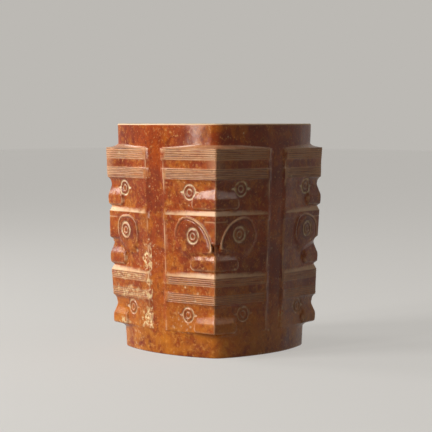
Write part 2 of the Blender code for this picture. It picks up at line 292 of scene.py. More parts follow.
# Plan of the block on the +X +Y corner, for its +X face
DIAGONAL = np.array((1.0, 1.0)) / math.sqrt(2)
TANGENT = np.array((1.0, -1.0)) / math.sqrt(2)
CORNER = DIAGONAL * CORNER_REACH
APOTHEM = RIM_WIDTH / 2
CHANNEL_EDGE = np.array((APOTHEM + BLOCK_STANDOFF, CHANNEL_MOUTH / 2))
FACE_LENGTH = float(np.linalg.norm(CHANNEL_EDGE - CORNER))
ALONG_FACE = (CHANNEL_EDGE - CORNER) / FACE_LENGTH
OUT_OF_FACE = np.array((-ALONG_FACE[1], ALONG_FACE[0]))
CORNER_SLOPE = abs(ALONG_FACE @ DIAGONAL) / math.sqrt(1 - (ALONG_FACE @ DIAGONAL) ** 2)

# Mesh: a draft is coarser, and the full one is thinned to the budget
COARSENESS = 1.0
TRIANGLE_BUDGET = 190_000
FIELD_ROW_SPACING = 0.21
BAND_ROW_SPACING = 0.13
WALL_STEPS = 8
FLOOR_STEPS = 10
EDGE_STEPS = 5
COLLAR_STEPS = 16
LEDGE_STEPS = 8
BORE_STEPS = 40
RIDGE_STEPS = 12
RIM_SHARES = (0.05, 0.1, 0.2, 0.6, 1.0)
FOOT_SHARES = np.linspace(0.0, 1.0, 8)
SMOOTH_DEGREES = 40
MERGE_METRES = 1e-6
CARVER_SEED = 20
carver = np.random.default_rng(CARVER_SEED)


def smoothstep(start, end, value):
    share = np.clip((value - start) / (end - start), 0.0, 1.0)
    return share * share * (3.0 - 2.0 * share)


def cut_line(distance, width):
    """Cross-section of an incised line: 1 on its middle, 0 a few widths away."""
    return np.exp(-((distance / width) ** 2))


def soft_min(a, b, fillet):
    """The lesser of two depths, with a fillet where they meet."""
    share = np.clip(0.5 + 0.5 * (b - a) / fillet, 0.0, 1.0)
    return b + (a - b) * share - fillet * share * (1.0 - share)


def spaced(*zones):
    """Stations along a line, from zones of (start, end, spacing)."""
    runs = []
    for start, end, spacing in zones:
        count = max(1, round(abs(end - start) / (spacing * COARSENESS)))
        runs.append(np.linspace(start, end, count, endpoint=False))
    return np.concatenate(runs + [np.array([zones[-1][1]])])


def taper(z):
    return (FOOT_WIDTH + (RIM_WIDTH - FOOT_WIDTH) * z / HEIGHT) / RIM_WIDTH


def waves(points, size, count=20):
    """Smooth random swelling over the points, about -1 to 1, with waves about this many millimetres long."""
    total = np.zeros(points.shape[:-1])
    for _ in range(count):
        direction = carver.normal(size=points.shape[-1])
        direction *= math.tau / size / np.linalg.norm(direction) * carver.uniform(0.6, 1.5)
        total += np.sin(points @ direction + carver.uniform(0, math.tau))
    return total / math.sqrt(count / 2)


# Stations along one side of a corner: the face from the corner to the channel, the channel's wall, its floor
FACE_STATIONS = spaced(
    (0.0, 0.6, 0.12), (0.6, 7.0, 0.32), (7.0, 20.0, 0.19), (20.0, FACE_LENGTH - 1.2, 0.3),
    (FACE_LENGTH - 1.2, FACE_LENGTH, 0.2),
)
WALL_SHARES = np.linspace(0.0, 1.0, WALL_STEPS)[1:-1]
WALL_REACH = (CHANNEL_MOUTH - CHANNEL_FLOOR) / 2
FLOOR_STATIONS = np.linspace(CHANNEL_FLOOR / 2, 0.0, FLOOR_STEPS)
N_FACE = len(FACE_STATIONS)
REACHES = np.concatenate([FACE_STATIONS, FACE_LENGTH + WALL_REACH * WALL_SHARES])


def foot_of_bars(mask):
    return mask.top - mask.upper_band - mask.strip - mask.lower_band


def small_mask_levels(mask):
    bars_foot = foot_of_bars(mask)
    strip_foot = bars_foot + mask.lower_band
    strip_top = strip_foot + mask.strip
    field = [
        (bars_foot - down, Cut(FIELD.corner * share, FIELD.away * share, FIELD.reach))
        for down, share in FIELD_CURVE[::-1]
    ]
    return [
        (mask.bottom, GROOVE),
        (mask.nose_foot + NOSE_ROUNDING, FIELD),
        *field,
        (strip_foot, BAR),
        (strip_foot + STRIP_SLOPE, STRIP),
        (strip_top - STRIP_SLOPE, STRIP),
        (strip_top, BAR),
        (mask.top, BAR),
    ]


def large_mask_levels(mask):
    bridge_foot = mask.top - mask.bridge
    return [
        (mask.bottom, GROOVE),
        (mask.nose_foot + NOSE_ROUNDING, NOSE_GROUND),
        (mask.nose_top + NOSE_GROUND_BLEND, NOSE_GROUND),
        (mask.nose_top + 2 * NOSE_GROUND_BLEND, HOLLOW),
        (bridge_foot - 3 * STEP_SLOPE, HOLLOW),
        (bridge_foot, BRIDGE),
        (mask.top - mask.brow - STRIP_SLOPE, BRIDGE),
        (mask.top - mask.brow, BAR),
        (mask.top, BAR),
    ]


def groove_levels(lower_top, upper_bottom):
    return [(lower_top + GROOVE_SLOPE, GROOVE), (upper_bottom - GROOVE_LIP, GROOVE)]


LEVELS = [
    *small_mask_levels(LOWER_MASK),
    *groove_levels(LOWER_MASK.top, MIDDLE_MASK.bottom),
    *large_mask_levels(MIDDLE_MASK),
    *groove_levels(MIDDLE_MASK.top, UPPER_MASK.bottom),
    *small_mask_levels(UPPER_MASK),
]
LEVEL_HEIGHTS = np.array([z for z, _ in LEVELS])
LEVEL_CUTS = np.array([cut for _, cut in LEVELS])


def block_rows():
    """Heights of the mesh rows on the corner blocks, closest where the incised lines are."""
    zones = []
    height = LOWER_MASK.bottom
    for mask in (LOWER_MASK, MIDDLE_MASK, UPPER_MASK):
        if isinstance(mask, SmallMask):
            below_bars = foot_of_bars(mask) - 2 * STEP_SLOPE
            zones += [(height, below_bars, FIELD_ROW_SPACING), (below_bars, mask.top, BAND_ROW_SPACING)]
        else:
            zones += [(height, mask.top, FIELD_ROW_SPACING)]
        height = mask.top
    return spaced(*zones)


BLOCK_ROWS = block_rows()


def ground_depth(z, reach):
    """The registers' stepped ground, with the steps a little rounded."""
    corner, away, length = (
        sum(np.interp(z + offset, LEVEL_HEIGHTS, column) for offset in STEP_ROUNDING) / len(STEP_ROUNDING)
        for column in LEVEL_CUTS.T
    )
    return away + (corner - away) * np.clip(1 - reach / length, 0.0, 1.0)


class HalfFace:
    """One half face under the carver's hand: depth below the bars' face, and the share of each mark on it.
    The numbers in the marks are shares, and the millimetres over which a mark fades."""

    def __init__(self, face):
        self.face = face
        self.z, self.reach = np.meshgrid(BLOCK_ROWS, REACHES, indexing="ij")
        self.depth = ground_depth(self.z, self.reach)
        self.across = np.stack([self.z, self.reach], axis=-1)
        self.marks = {name: np.zeros_like(self.depth) for name in MARKS}

    def mark(self, name, share):
        self.marks[name] = np.maximum(self.marks[name], share)

    def carve_eyelid(self):
        """A low oval pillow that fades out below, edged by a raised line with an incised one inside it."""
        x = self.reach - self.face.large_eye[0] - EYELID_SHIFT[0]
        y = self.z - self.face.large_eye[1] - EYELID_SHIFT[1]
        lid = self.face.lid
        lean = math.radians(lid.lean)
        long = x * math.cos(lean) + y * math.sin(lean)
        long = long / np.where(long > 0, lid.away, lid.tip)
        short = (y * math.cos(lean) - x * math.sin(lean)) / EYELID_HALF_HEIGHT
        short = np.where(short < 0, short * (1 + EYELID_PULL * np.clip(-long, 0.0, 1.0)), short)
        power = np.where(long > 0, EYELID_SQUARENESS, lid.point)
        size = (np.abs(long) ** power + np.abs(short) ** power) ** (1 / power)
        edge = (size - 1.0) * np.hypot(x, y) / np.maximum(size, 0.05)
        nose_side = smoothstep(0.55, -0.5, long - 0.6 * short) * smoothstep(-0.3, 0.0, short)
        crisp = np.maximum(smoothstep(-0.95, 0.1, short), 0.8 * nose_side)
        crown = EYELID_CROWN * np.clip(-edge / EYELID_HALF_HEIGHT, 0.0, 1.0) ** 0.6
        pillow = -EYELID_RISE * (0.3 + 0.7 * crisp) - crown
        crisp = crisp * smoothstep(lid.foot - 1.5, lid.foot + 1.5, self.z)
        wall = EYELID_WALL + EYELID_WALL_FADING * (1 - crisp)
        self.depth = soft_min(self.depth, pillow + np.maximum(edge, 0.0) / wall, EYELID_FILLET)
        raised = cut_line(edge + EYELID_RIDGE_INSET, EYELID_RIDGE.width) * crisp
        inside = cut_line(edge + EYELID_LINE_INSET, EYELID_LINE.width) * crisp
        self.depth += EYELID_LINE.depth * inside + EYELID_RIDGE.depth * raised
        # The raised edge is painted pale, wear and a painted highlight, most on the side towards the nose
        self.mark("wear_and_highlight", raised * (0.3 + 0.7 * nose_side))
        self.mark("dark_line", inside * 0.5)

    def carve_nose(self, mask, length):
        """A nose bar: crowned front, round end, and a top that slopes back into the ground."""
        across = np.maximum(self.reach - (length - NOSE_ROUNDING), 0.0)
        above = np.maximum(self.z - (mask.nose_top - NOSE_ROUNDING), 0.0)
        below = np.maximum((mask.nose_foot + NOSE_ROUNDING) - self.z, 0.0)
        outside = np.hypot(across, above + below) - NOSE_ROUNDING
        upward = smoothstep(0.25, 0.95, above / np.maximum(np.hypot(across, above + below), 1e-6))
        wall = np.maximum(outside, 0.0) / np.where(below > 0, NOSE_UNDERSIDE, NOSE_WALL)
        ramp = np.clip(outside, 0.0, NOSE_RAMP)
        ramp = mask.nose_tilt * ramp - NOSE_HOLLOWNESS * ramp**2
        crown = NOSE_CROWN * np.clip(1 + outside / NOSE_ROUNDING, 0.0, 1.0) ** 2 - NOSE_RISE
        self.depth = soft_min(self.depth, crown + wall + (ramp - wall) * upward, NOSE_FILLET)
        uneven = np.clip(0.6 + 0.4 * waves(self.across, 5, 10), 0.1, 1.0)
        showing = np.where((below > 0) & (across == 0), 0.4, 1 - 0.8 * upward)
        # The nose's outline is painted pale: a worn arris and a painted highlight on its lit end, less on the
        # sloping top
        self.mark("wear_and_highlight", cut_line(outside - 0.15, 0.4) * showing * uneven)

    def drill_eye(self, place, fill, large=False):
        """A drilled ring and pupil. A small eye has two pointed corners, a large one a faint outer ring."""
        x = self.reach - place[0]
        y = self.z - place[1]
        radius = np.hypot(x, y)
        ring_line = LARGE_RING_LINE if large else RING_LINE
        ring = cut_line(radius - EYE_RING, ring_line.width)
        pupil = cut_line(radius - EYE_PUPIL, PUPIL_WIDTH)
        cuts = np.maximum(ring, 0.7 * pupil)
        if large:
            self.depth += OUTER_RING_LINE.depth * cut_line(radius - OUTER_RING, OUTER_RING_LINE.width)
            self.mark("dark_line", 0.5 * cut_line(radius - OUTER_DARK_RING, OUTER_DARK_RING_WIDTH))
        else:
            along = np.abs(x) - EYE_RING
            half_height = EYE_CORNER_HALF_HEIGHT * np.clip(1 - along / (EYE_CORNER_TIP - EYE_RING), 0.0, 1.0)
            point = cut_line(np.maximum(np.abs(y) - half_height, 0.0), EYE_CORNER_WIDTH)
            cuts = np.maximum(cuts, 0.9 * point * smoothstep(-0.3, 0.2, along) * (half_height > 0))
        swelling = cut_line(radius - EYE_SWELLING, SWELLING_LINE.width)
        self.depth += ring_line.depth * cuts + SWELLING_LINE.depth * swelling
        patchy = 0.75 + 0.25 * waves(self.across, 3.5, 8)
        self.mark("pale_fill_and_highlight", fill * cuts * np.clip(patchy, 0.3, 1.0))
        self.mark("dark_line", 0.4 * cut_line(radius - INNER_DARK_RING, INNER_DARK_RING_WIDTH))

    def cut_brow(self):
        """The line across the bridge between the eyelids."""
        line = cut_line(self.z - (MIDDLE_MASK.top - MIDDLE_MASK.brow), BROW_LINE.width)
        line = line * smoothstep(BROW_LINE_END, BROW_LINE_FULL, self.reach)
        self.depth += BROW_LINE.depth * line
        self.mark("wear_and_highlight", 0.6 * line)

    def cut_band(self, foot, height, lines, faded):
        """One bar with fine lines along it, drawn by hand, that stop short of the channel."""
        inside = smoothstep(foot - 0.15, foot + 0.25, self.z)
        inside = inside * smoothstep(foot + height + 0.15, foot + height - 0.25, self.z)
        rubbed = (1 - faded) * smoothstep(FACE_LENGTH - 0.2, FACE_LENGTH - 1.6, self.reach)
        self.mark("barred_band", inside * rubbed)
        for line in range(lines):
            level = foot + height * (line + 0.5) / lines + carver.uniform(-LINE_OFF_LEVEL, LINE_OFF_LEVEL)
            drift = carver.uniform(-LINE_DRIFT, LINE_DRIFT) * self.reach / FACE_LENGTH
            wobble = LINE_WOBBLE * np.sin(self.reach * carver.uniform(0.4, 0.9) + carver.uniform(0, 6))
            stop = FACE_LENGTH - carver.uniform(*LINE_STOP)
            drawn = cut_line(self.z - level - drift - wobble, BAND_LINE.width)
            drawn = drawn * smoothstep(stop, stop - 0.8, self.reach)
            strength = carver.uniform(*LINE_STRENGTH)
            self.depth += BAND_LINE.depth * strength * drawn
            self.mark("dark_line", 0.95 * (1 - 0.7 * faded) * strength * drawn)

    def cut_bands(self, mask):
        """Two lined bars with a plain strip between, paler where the hand rubs them, with a painted sheen
        near the corner and painted highlights along the strip's edges.
        """
        upper_foot = mask.top - mask.upper_band
        strip_foot = upper_foot - mask.strip
        lower_foot = foot_of_bars(mask)
        self.cut_band(upper_foot, mask.upper_band, mask.lines[0], mask.faded)
        self.cut_band(lower_foot, mask.lower_band, mask.lines[1], mask.faded)
        fresh = max(0.0, 1 - 2.5 * mask.faded)
        sheen_near_corner = fresh * smoothstep(7.0, 0.5, self.reach)
        bars = smoothstep(lower_foot - 0.1, lower_foot + 0.3, self.z)
        bars = bars * smoothstep(mask.top + 0.1, mask.top - 0.3, self.z)
        # Painted sheen on the bars near the corner, and painted highlights along the strip's lower and upper
        # edges
        self.mark("wear_and_highlight", 0.35 * sheen_near_corner * bars)
        self.mark("wear_and_highlight", (0.45 * fresh + 0.4 * sheen_near_corner) * cut_line(self.z - strip_foot - 0.1, 0.28))
        self.mark("wear_and_highlight", 0.25 * cut_line(self.z - upper_foot - 0.3, 0.3))

    def wear_edges(self):
        """Corners rubbed round, thin pale arrises, and pale ledges and top edges that are wear with a painted
        highlight.
        """
        rubbed_off = np.maximum(CORNER_ROUNDING - self.reach, 0.0)
        self.depth += CORNER_SLOPE * rubbed_off**2 / (2 * CORNER_ROUNDING)
        past_edge = self.reach - FACE_LENGTH + CHANNEL_EDGE_ROUNDING
        self.depth += np.clip(past_edge, 0.0, CHANNEL_EDGE_ROUNDING) ** 2
        uneven = np.clip(0.75 + 0.35 * waves(self.across, 11, 10), 0.25, 1.0)
        self.mark("wear_and_highlight", 0.55 * cut_line(self.reach, 0.35) * uneven)
        broken = np.clip(0.25 + 0.6 * waves(self.across, 14, 10), 0.0, 1.0)
        self.mark("wear_and_highlight", cut_line(self.reach - FACE_LENGTH + 0.1, 0.3) * broken)
        # A pale line along the blocks' top edges: wear and a painted highlight
        self.mark("wear_and_highlight", 0.8 * cut_line(self.z - UPPER_MASK.top, 0.4) * uneven)
        towards_corner = np.clip(1 - self.reach / FACE_LENGTH, 0.0, 1.0)
        # The groove ledges' up-facing slopes are painted pale, wear with a painted highlight, with pale fill
        # and a painted highlight near their lip
        for top in (LOWER_MASK.top, MIDDLE_MASK.top):
            above = self.z - top
            ends = smoothstep(FACE_LENGTH, FACE_LENGTH - 2.0, self.reach) * smoothstep(-0.15, 0.3, above)
            self.mark("wear_and_highlight", 0.85 * ends * smoothstep(0.3, 0.0, above - 0.6 - 1.5 * towards_corner))
            ledge_lip = smoothstep(0.4, 0.0, above - 0.3 - 0.8 * towards_corner)
            self.mark("pale_fill_and_highlight", self.face.chalk * ends * uneven * ledge_lip)
        self.mark("rubbed_face", smoothstep(FACE_LENGTH + 0.5, FACE_LENGTH - 1.0, self.reach))

    def chip(self):
        """Places where the skin has broken off or crusted over and turned chalky."""
        for spot in self.face.chips:
            distance = np.hypot((self.reach - spot.reach) / spot.wide, (self.z - spot.height) / spot.tall)
            broken = smoothstep(1.15, 0.35, distance + 0.3 * waves(self.across, 4.5, 16))
            self.depth += broken * spot.deep * (1.0 + 0.5 * waves(self.across, 1.7, 18))
            self.mark("crust", broken * spot.pale)

    def carve(self):
        self.carve_eyelid()
        self.carve_nose(UPPER_MASK, self.face.upper_nose)
        self.carve_nose(MIDDLE_MASK, self.face.large_nose)
        self.carve_nose(LOWER_MASK, self.face.lower_nose)
        self.drill_eye(self.face.upper_eye, UPPER_EYE_FILL)
        self.drill_eye(self.face.lower_eye, LOWER_EYE_FILL)
        self.drill_eye(self.face.large_eye, LARGE_EYE_FILL, large=True)
        self.cut_brow()
        self.cut_bands(UPPER_MASK)
        self.cut_bands(LOWER_MASK)
        self.wear_edges()
        self.chip()


def tube_outline():
    """Plan points and outward directions of the tube: a tight corner and a side that swells in a wide arc."""
    side_centre = APOTHEM - TUBE_SIDE_RADIUS
    span = TUBE_SIDE_RADIUS - TUBE_CORNER_RADIUS
    corner_centre = (side_centre + math.sqrt(2 * span**2 - side_centre**2)) / 2
    turn = math.atan2(corner_centre, corner_centre - side_centre)
    corner_arc = TUBE_CORNER_RADIUS * (math.pi / 4 - turn)
    total = corner_arc + TUBE_SIDE_RADIUS * turn
    edge_run = total - TUBE_SIDE_RADIUS * math.asin(CHANNEL_MOUTH / 2 / TUBE_SIDE_RADIUS)
    floor_runs = total - TUBE_SIDE_RADIUS * np.arcsin(FLOOR_STATIONS / TUBE_SIDE_RADIUS)
    runs = np.concatenate([
        FACE_STATIONS / FACE_LENGTH * edge_run,
        edge_run + WALL_SHARES * (floor_runs[0] - edge_run),
        floor_runs,
    ])
    on_corner = np.minimum(runs, corner_arc) / TUBE_CORNER_RADIUS
    on_side = np.maximum(runs - corner_arc, 0.0) / TUBE_SIDE_RADIUS
    angle = math.pi / 4 - on_corner - on_side
    outward = np.stack([np.cos(angle), np.sin(angle)], axis=-1)
    corner = corner_centre + TUBE_CORNER_RADIUS * outward
    side = np.array((side_centre, 0.0)) + TUBE_SIDE_RADIUS * outward
    return np.where((runs < corner_arc)[:, None], corner, side), outward


TUBE, TUBE_OUT = tube_outline()
TUBE_FLOOR = TUBE[len(REACHES):]
# The ledges rise fully near the corner and less and less towards the channel
LEDGE_RISES = LEDGE_RISE_AT_CHANNEL + (LEDGE_RISE - LEDGE_RISE_AT_CHANNEL) * np.concatenate([
    np.clip(LEDGE_FALL - LEDGE_FALL * REACHES / FACE_LENGTH, 0.0, 1.0), np.zeros(len(TUBE_FLOOR)),
])


def block_plan(depth, lean):
    """Plan points of one side of a corner block, cut to this depth over its face and leaning along it."""
    slide = depth * CORNER_SLOPE * np.clip(1 - FACE_STATIONS / CORNER_SLIDE, 0.0, 1.0)
    face = CORNER + (FACE_STATIONS + slide)[:, :, None] * ALONG_FACE - depth[:, :, None] * OUT_OF_FACE
    face = face + lean[:, None, None] * (1 - FACE_STATIONS / FACE_LENGTH)[None, :, None] * TANGENT
    floor = np.broadcast_to(TUBE_FLOOR, (len(depth),) + TUBE_FLOOR.shape)
    fall = np.stack([smoothstep(0.0, 1.0, WALL_SHARES), WALL_SHARES], axis=-1)
    wall = face[:, -1:, :] + fall * (floor[:, :1, :] - face[:, -1:, :])
    return np.concatenate([face, wall, floor], axis=1)


def standing(plan, heights):
    """Plan points with their taper at these heights, as points in space."""
    size = taper(heights)
    return np.concatenate([plan * size[..., None], heights[..., None]], axis=-1)


def rounded_edge(steps, rounding):
    angle = np.linspace(0.0, math.pi / 2, steps)
    return rounding * (1 - np.cos(angle)), rounding * np.sin(angle)


def collar_rows(heights, inset=0.0):
    """Rows of the bare tube, at a height for each row and station and with each row set in by this much."""
    inset = np.broadcast_to(inset, len(heights))[:, None, None]
    return standing(TUBE - inset * TUBE_OUT, np.broadcast_to(heights, (len(heights), len(TUBE))))


def ledge_rows(block_row, block_z, collar_z):
    """The ledge from a block's end in to the collar, with a fillet against the collar."""
    share = np.linspace(0.0, 1.0, LEDGE_STEPS)[1:-1, None]
    plan = block_row + (TUBE - block_row) * share[:, :, None] ** LEDGE_ROW_POWER
    climb = (1 - LEDGE_FILLET) * share + LEDGE_FILLET * share**LEDGE_FILLET_POWER
    return standing(plan, block_z + (collar_z - block_z) * climb)


def bore_rows():
    """Heights and radii of the drilling from the rim down, with the drill's fine rings and the ridge."""
    heights = np.concatenate([
        np.linspace(HEIGHT - BORE_LIP, HEIGHT / 2 + BORE_RIDGE_WIDTH, BORE_STEPS),
        np.linspace(HEIGHT / 2 + BORE_RIDGE_WIDTH, HEIGHT / 2 - BORE_RIDGE_WIDTH, RIDGE_STEPS)[1:-1],
        np.linspace(HEIGHT / 2 - BORE_RIDGE_WIDTH, BORE_LIP, BORE_STEPS),
    ])
    share = np.abs(heights - HEIGHT / 2) / (HEIGHT / 2)
    radius = BORE_WAIST_RADIUS + (BORE_MOUTH_RADIUS - BORE_WAIST_RADIUS) * share
    radius -= BORE_RIDGE_RISE * cut_line(heights - HEIGHT / 2, BORE_RIDGE_WIDTH / 2)
    drift = DRILL_RING_DRIFT * np.sin(heights * DRILL_RING_DRIFT_RATE)
    radius += DRILL_RING_DEPTH * np.sin(heights * DRILL_RING_RATE + drift)
    return heights, radius


def ring_points(radius, height, direction):
    return np.concatenate([direction * radius, np.full((len(direction), 1), height)], axis=-1)


def section_rows(plan):
    """Rows of one side of a corner round the whole section, by their place: outside, rim, bore, foot."""
    inset, climb = rounded_edge(EDGE_STEPS, RIM_ROUNDING)
    climb = climb[:, None]
    foot_z = LOWER_MASK.bottom - LEDGE_RISES
    rim_z = UPPER_MASK.top + LEDGE_RISES
    rim_edge_z = HEIGHT - RIM_ROUNDING
    foot_edge = collar_rows(RIM_ROUNDING - climb[::-1], inset[::-1])[:-1]
    rim_edge = collar_rows(rim_edge_z + climb, inset)[1:]
    direction = rim_edge[-1, :, :2] / np.linalg.norm(rim_edge[-1, :, :2], axis=-1, keepdims=True)
    rim_lip = ring_points(BORE_MOUTH_RADIUS + BORE_LIP, HEIGHT, direction)
    foot_lip = ring_points(BORE_MOUTH_RADIUS + BORE_LIP, 0.0, direction)
    return {
        "foot_edge": foot_edge,
        "foot_collar": collar_rows(np.linspace(np.full_like(foot_z, RIM_ROUNDING), foot_z, COLLAR_STEPS)),
        "lower_ledge": ledge_rows(plan[0], LOWER_MASK.bottom, foot_z)[::-1],
        "block": standing(plan, np.repeat(BLOCK_ROWS[:, None], plan.shape[1], axis=1)),
        "upper_ledge": ledge_rows(plan[-1], UPPER_MASK.top, rim_z),
        "rim_collar": collar_rows(np.linspace(rim_z, np.full_like(rim_z, rim_edge_z), COLLAR_STEPS)),
        "rim_edge": rim_edge,
        "rim": np.array([rim_edge[-1] + (rim_lip - rim_edge[-1]) * share for share in RIM_SHARES]),
        "bore": np.array([ring_points(r, h, direction) for h, r in zip(*bore_rows())]),
        "foot": np.array([foot_lip + (foot_edge[0] - foot_lip) * share for share in FOOT_SHARES]),
    }


def section_marks(rows, carved):
    """Shares of the marks on these rows: those of the carved face, the top ledge, the rim and the foot."""
    shares = {place: np.zeros(points.shape[:2] + (len(MARKS),)) for place, points in rows.items()}
    for channel, name in enumerate(MARKS):
        shares["block"][:, :len(REACHES), channel] = carved[name]
    # The top ledge gets wear with a painted sheen, and the rim's edge a pale line of wear and fill that is
    # also a painted highlight
    shares["upper_ledge"][:, :N_FACE, MARKS.index("wear_and_highlight")] = TOP_LEDGE_WEAR_AND_SHEEN
    shares["rim_edge"][..., MARKS.index("wear_and_highlight")] = 1.0
    shares["rim_edge"][..., MARKS.index("pale_fill_and_highlight")] = RIM_CHALK_AND_HIGHLIGHT
    for place, points in rows.items():
        stain = smoothstep(FOOT_STAIN_TOP, FOOT_STAIN_FULL, points[..., 2])
        shares[place][..., MARKS.index("foot_stain")] = stain
    return np.concatenate(list(shares.values()))


def side_of_corner(quarter, side):
    """Points and marks of one side of a corner, mirrored for its second side and turned to its quarter."""
    half_face = HalfFace(CARVED_FACES.get((quarter, side), DESIGN))
    half_face.carve()
    lean = np.zeros_like(BLOCK_ROWS)
    if quarter == LEANING_QUARTER:
        lean = side * (LEAN_AT_FOOT + (LEAN_AT_RIM - LEAN_AT_FOOT) * BLOCK_ROWS / HEIGHT)
    rows = section_rows(block_plan(half_face.depth[:, :N_FACE], lean))
    marks = section_marks(rows, half_face.marks)
    skin = np.concatenate(list(rows.values()))
    if side < 0:
        skin = skin[:, :, [1, 0, 2]]
    turn = quarter * math.pi / 2
    x = skin[..., 0] * math.cos(turn) - skin[..., 1] * math.sin(turn)
    y = skin[..., 0] * math.sin(turn) + skin[..., 1] * math.cos(turn)
    return np.stack([x, y, skin[..., 2]], axis=-1), marks


def whole_skin():
    """The stone's surface as one grid that closes on itself both round the plan and round the section."""
    skins = []
    marks = []
    for quarter in range(4):
        near, near_marks = side_of_corner(quarter, 1)
        far, far_marks = side_of_corner(quarter, -1)
        near[:, 0] = far[:, 0] = (near[:, 0] + far[:, 0]) / 2
        skins += [near[:, ::-1], far[:, 1:-1]]
        marks += [near_marks[:, ::-1], far_marks[:, 1:-1]]
    return np.concatenate(skins, axis=1), np.concatenate(marks, axis=1)


def outward_normals(skin):
    around = np.roll(skin, -1, axis=1) - np.roll(skin, 1, axis=1)
    along = np.empty_like(skin)
    along[1:-1] = skin[2:] - skin[:-2]
    along[0] = along[-1] = skin[1] - skin[-2]
    normal = np.cross(around, along)
    return normal / np.maximum(np.linalg.norm(normal, axis=-1, keepdims=True), 1e-9)


def press_pits(skin, swell, marks):
    """Small pits that hold pale or dark dirt."""
    for pits in PITS:
        places = np.argwhere(np.linalg.norm(skin - pits.centre, axis=-1) < pits.spread)
        for row, column in carver.choice(places, pits.count):
            size = SMALLEST_PIT + PIT_SPREAD * carver.uniform() ** 3
            near = np.abs(skin[..., 2] - skin[row, column, 2]) < 2 * size
            pit = cut_line(np.linalg.norm(skin[near] - skin[row, column], axis=-1), size)
            dirt = "pale_fill_and_highlight" if pits.all_pale or carver.uniform() < PALE_PITS else "dark_line"
            channel = MARKS.index(dirt)
            share = carver.uniform(pits.faintest, pits.strongest)
            marks[near, channel] = np.maximum(marks[near, channel], share * pit)
            swell[near] -= pit * size * PIT_DEPTH


def weather(skin, marks):
    """Hand-polished unevenness, less near the rim and the foot, and pits. The stone keeps inside its size."""
    normal = outward_normals(skin)
    z = skin[..., 2]
    from_ends = smoothstep(0.0, EVEN_ENDS, z) * smoothstep(HEIGHT, HEIGHT - EVEN_ENDS, z)
    swell = sum(height * waves(skin, length) for height, length in SWELLS)
    swell = swell * (SWELL_AT_ENDS + (1 - SWELL_AT_ENDS) * from_ends)
    press_pits(skin, swell, marks)
    return np.clip(skin + normal * swell[..., None], STONE_LOW + SKIN_MARGIN, STONE_HIGH - SKIN_MARGIN)


def make_stone():
    """A grid wrapped round the stone and sewn up, with the marks as attributes. Thinning spares the rim."""
    skin, marks = whole_skin()
    skin = weather(skin, marks)
    skin = np.concatenate([skin, skin[:, :1]], axis=1)
    marks = np.concatenate([marks, marks[:, :1]], axis=1)
    skin[-1] = skin[0]
    rows, columns = skin.shape[:2]
    bpy.ops.object.select_all(action="DESELECT")
    bpy.ops.mesh.primitive_grid_add(x_subdivisions=columns - 1, y_subdivisions=rows - 1, size=1.0)
    stone = bpy.context.object
    stone.name = stone.data.name = "cong_stone"
    stone.data.vertices.foreach_set("co", (skin * MM).ravel())
    for channel, name in enumerate(MARKS):
        attribute = stone.data.attributes.new(name, "FLOAT", "POINT")
        attribute.data.foreach_set("value", marks[..., channel].ravel().astype(np.float32))
    stone.data.update()
    rim = stone.vertex_groups.new(name="rim")
    rim.add(np.flatnonzero(skin[..., 2] > HEIGHT - RIM_ROUNDING).tolist(), 1.0, "REPLACE")
    bpy.ops.object.mode_set(mode="EDIT")
    bpy.ops.mesh.select_all(action="SELECT")
    bpy.ops.mesh.remove_doubles(threshold=MERGE_METRES)
    bpy.ops.mesh.normals_make_consistent(inside=False)
    bpy.ops.object.mode_set(mode="OBJECT")
    bpy.ops.object.modifier_add(type="DECIMATE")
    thinning = stone.modifiers[-1]
    thinning.ratio = TRIANGLE_BUDGET / (2 * len(stone.data.polygons))
    thinning.vertex_group = rim.name
    thinning.invert_vertex_group = True
    bpy.ops.object.modifier_apply(modifier=thinning.name)
    bpy.ops.object.shade_smooth_by_angle(angle=math.radians(SMOOTH_DEGREES))
    return stone


def colour(code):
    """Linear colour of an sRGB hex code."""
    channels = [int(code[i:i + 2], 16) / 255 for i in (1, 3, 5)]
    return tuple(c / 12.92 if c <= 0.04045 else ((c + 0.055) / 1.055) ** 2.4 for c in channels) + (1.0,)


def node(tree, kind, links=(), values=(), **settings):
    """Adds a node. Links and values are pairs of an input and what goes there."""
    new = tree.nodes.new(kind)
    for name, value in settings.items():
        setattr(new, name, value)
    for name, value in values:
        new.inputs[name].default_value = value
    for name, socket in links:
        tree.links.new(socket, new.inputs[name])
    return new


